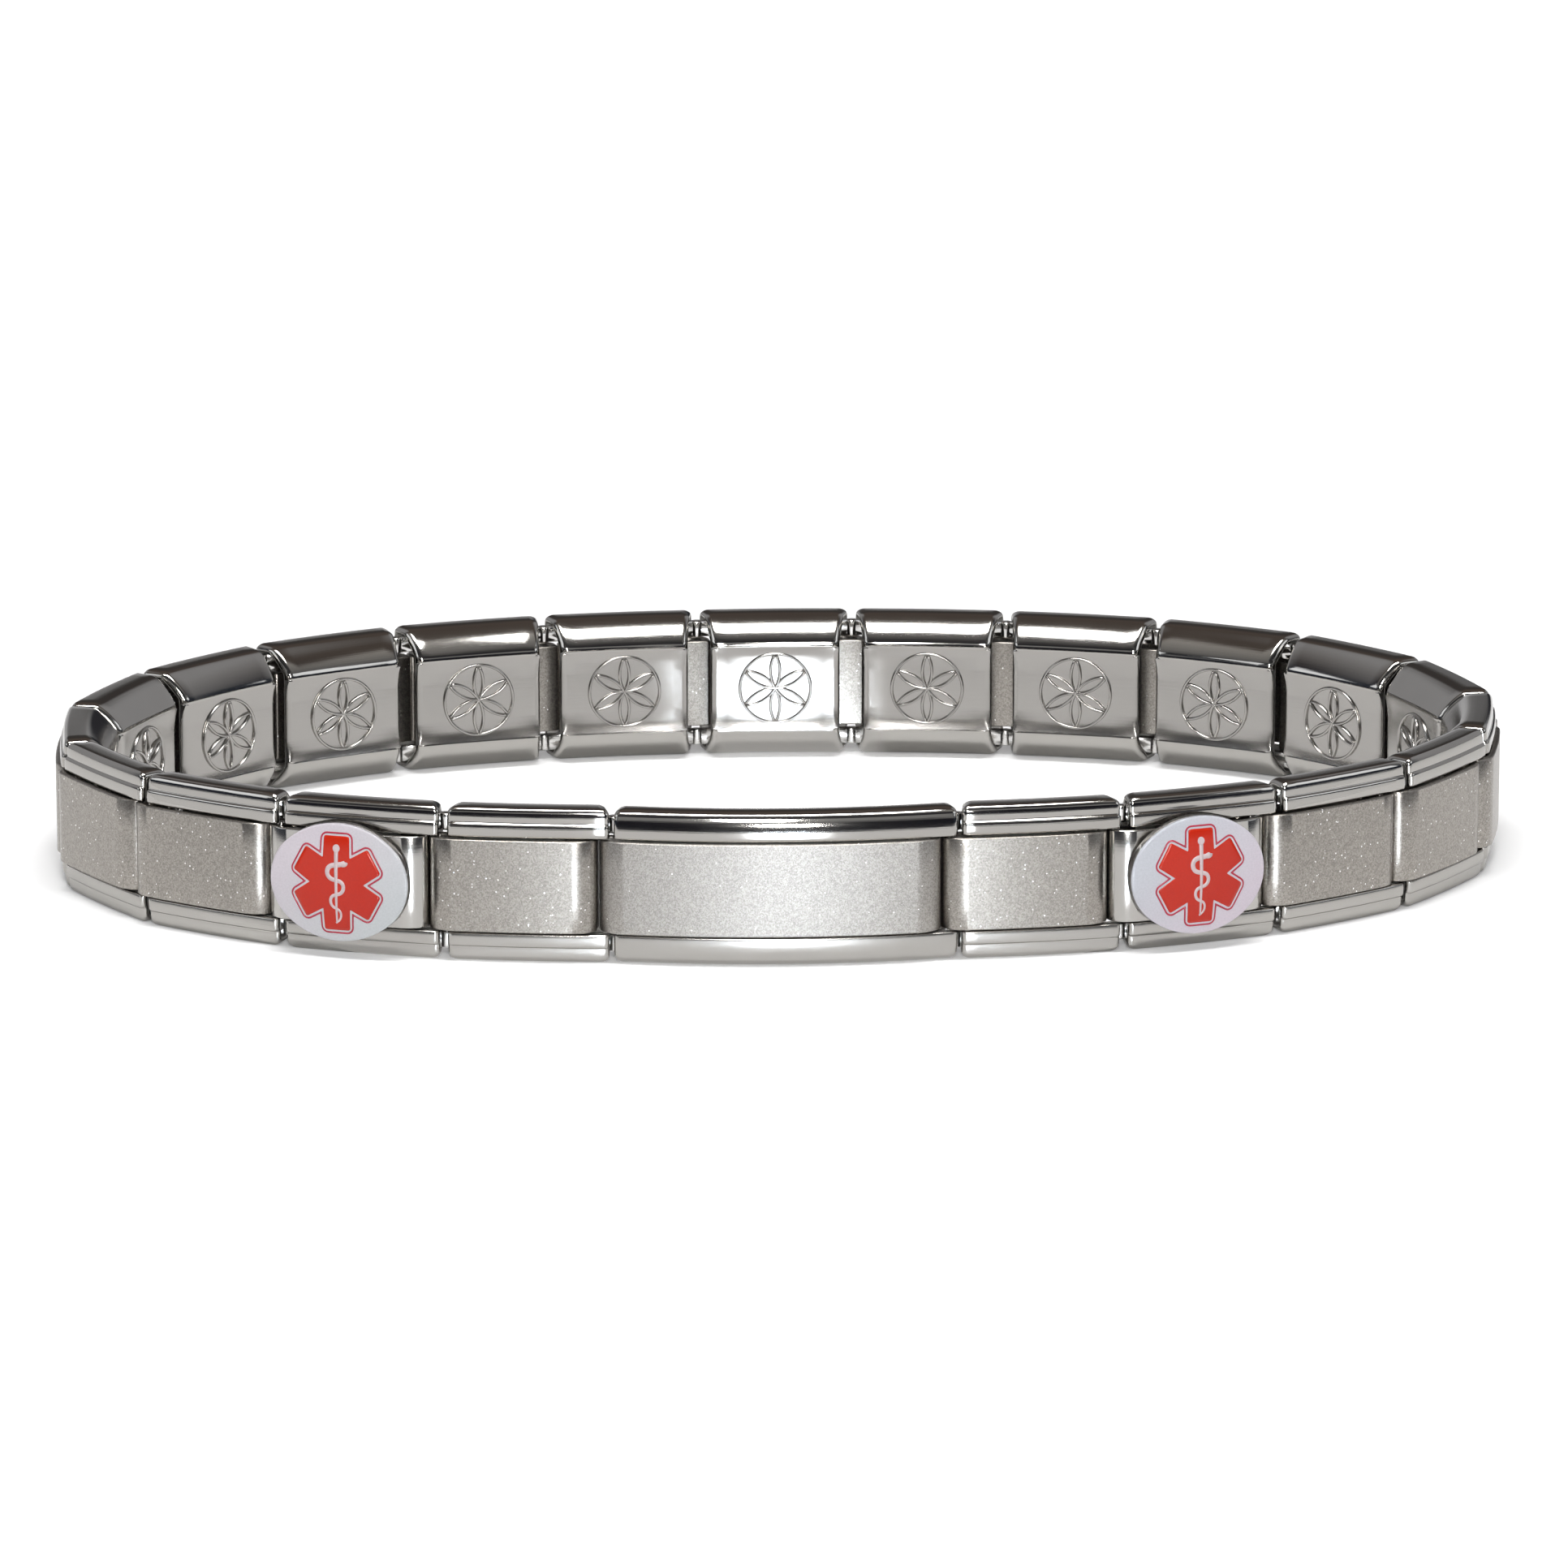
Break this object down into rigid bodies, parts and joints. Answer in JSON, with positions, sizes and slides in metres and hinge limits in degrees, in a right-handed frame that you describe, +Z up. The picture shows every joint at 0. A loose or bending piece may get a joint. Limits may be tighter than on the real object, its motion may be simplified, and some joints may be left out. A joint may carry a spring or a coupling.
{
  "type": "medical alert bracelet",
  "caption": "Closed bracelet of flat bowed steel links with matte front plates, a bare identity plate and oval medical badges, lying on its edge.",
  "frame": {"origin": "middle of the oval chain, on the surface that its lower rails rest on", "axes": "+Z up across the band, -Y out through the identity plate, +X to the right of a viewer who faces that plate"},
  "size_m": [0.0861, 0.0552, 0.009],
  "materials": {
    "polished_steel": "mirror polished stainless steel with fine hairlines",
    "matte_steel": "bead-blasted stainless steel with a fine sparkle",
    "identity_steel": "finely blasted stainless steel, bare",
    "badge_metal": "polished plate with a darker rough-edged cup",
    "badge_print": "clear domed resin over a white face printed in red",
    "staple_steel": "bright spring steel"
  },
  "bodies": {
    "root": {"frame_01": "polished_steel", "frame_02": "polished_steel", "frame_03": "polished_steel", "frame_04_double": "polished_steel", "frame_05": "polished_steel", "frame_06": "polished_steel", "frame_07": "polished_steel", "frame_08": "polished_steel", "frame_09": "polished_steel", "frame_10": "polished_steel", "frame_11": "polished_steel", "frame_12": "polished_steel", "frame_13": "polished_steel", "frame_14": "polished_steel", "frame_15": "polished_steel", "frame_16": "polished_steel", "frame_17": "polished_steel", "frame_18": "polished_steel", "frame_19": "polished_steel", "frame_20": "polished_steel", "frame_21": "polished_steel", "frame_22": "polished_steel", "front_plate_01": "matte_steel", "badge_plate_02": "badge_metal", "front_plate_03": "matte_steel", "identity_plate": "identity_steel", "front_plate_05": "matte_steel", "badge_plate_06": "badge_metal", "front_plate_07": "matte_steel", "front_plate_08": "matte_steel", "front_plate_09": "matte_steel", "front_plate_10": "matte_steel", "front_plate_11": "matte_steel", "front_plate_12": "matte_steel", "front_plate_13": "matte_steel", "front_plate_14": "matte_steel", "front_plate_15": "matte_steel", "front_plate_16": "matte_steel", "front_plate_17": "matte_steel", "front_plate_18": "matte_steel", "front_plate_19": "matte_steel", "front_plate_20": "matte_steel", "front_plate_21": "matte_steel", "front_plate_22": "matte_steel", "badge_face_02": "badge_print", "badge_face_06": "badge_print", "staples_top": "staple_steel", "staples_bottom": "staple_steel"}
  },
  "joints": []
}
